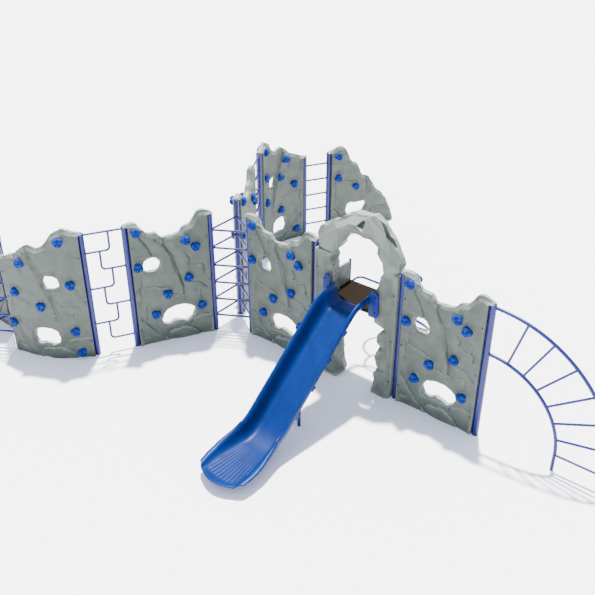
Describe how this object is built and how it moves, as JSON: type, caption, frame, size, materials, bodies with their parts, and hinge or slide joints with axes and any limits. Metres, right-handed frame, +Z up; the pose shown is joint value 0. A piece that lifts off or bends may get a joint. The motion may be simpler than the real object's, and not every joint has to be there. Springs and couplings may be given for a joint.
{
  "type": "rock climbing wall",
  "caption": "Free-standing playground climbing wall: rock-look panels with hand holds between posts, linked by ladders, with an arched portal, deck, slide and loop climber.",
  "frame": {"origin": "centre of the foot of the arch's left post, on the ground", "axes": "+X along the front wall towards the arched ladder, +Y away from the slide, +Z up"},
  "size_m": [10.5272, 8.0754, 2.788],
  "materials": {
    "post": "powder coat, semi-gloss",
    "cap": "powder coat, semi-gloss",
    "ladder": "powder coat, semi-gloss",
    "climber": "powder coat, semi-gloss",
    "support": "powder coat, semi-gloss",
    "rock_panel": "textured, matte",
    "arch_rock": "textured, matte",
    "hold": "moulded, satin",
    "chute": "moulded, glossy",
    "hood": "moulded, glossy",
    "deck": "thick coating, satin",
    "fixing": "zinc plated"
  },
  "bodies": {
    "root": {"post_a_low": "post", "post_a_high": "post", "post_b_left": "post", "post_b_right": "post", "post_c_left": "post", "post_arch_left": "post", "post_arch_right": "post", "post_g_right": "post", "post_d_near": "post", "post_d_far": "post", "post_e_high": "post", "post_e_low": "post", "post_f": "post", "post_h": "post", "post_corner": "post", "post_caps": "cap", "panel_a": "rock_panel", "panel_b": "rock_panel", "panel_c": "rock_panel", "panel_d": "rock_panel", "panel_e": "rock_panel", "panel_f": "rock_panel", "panel_g": "rock_panel", "panel_h": "rock_panel", "arch_left_pier": "arch_rock", "arch_right_pier": "arch_rock", "arch_crown": "arch_rock", "holds_a": "hold", "holds_b": "hold", "holds_c": "hold", "holds_d": "hold", "holds_e": "hold", "holds_f": "hold", "holds_g": "hold", "holds_h": "hold", "hold_bolts": "fixing", "panel_bolts": "fixing", "zigzag_ladder_bars": "ladder", "main_corner_rungs": "ladder", "left_corner_rungs": "ladder", "rear_ladder_rungs": "ladder", "short_ladder_rungs": "ladder", "arched_ladder_inner_rail": "ladder", "arched_ladder_outer_rail": "ladder", "arched_ladder_rungs": "ladder", "deck_pan": "deck", "deck_frame": "support", "barrier_left": "rock_panel", "barrier_right": "rock_panel", "barrier_posts": "support", "climber_loops": "climber", "climber_legs": "climber", "slide_chute": "chute", "slide_flanges": "hood", "slide_leg": "support", "slide_saddle": "support", "slide_bolts": "fixing"}
  },
  "joints": []
}
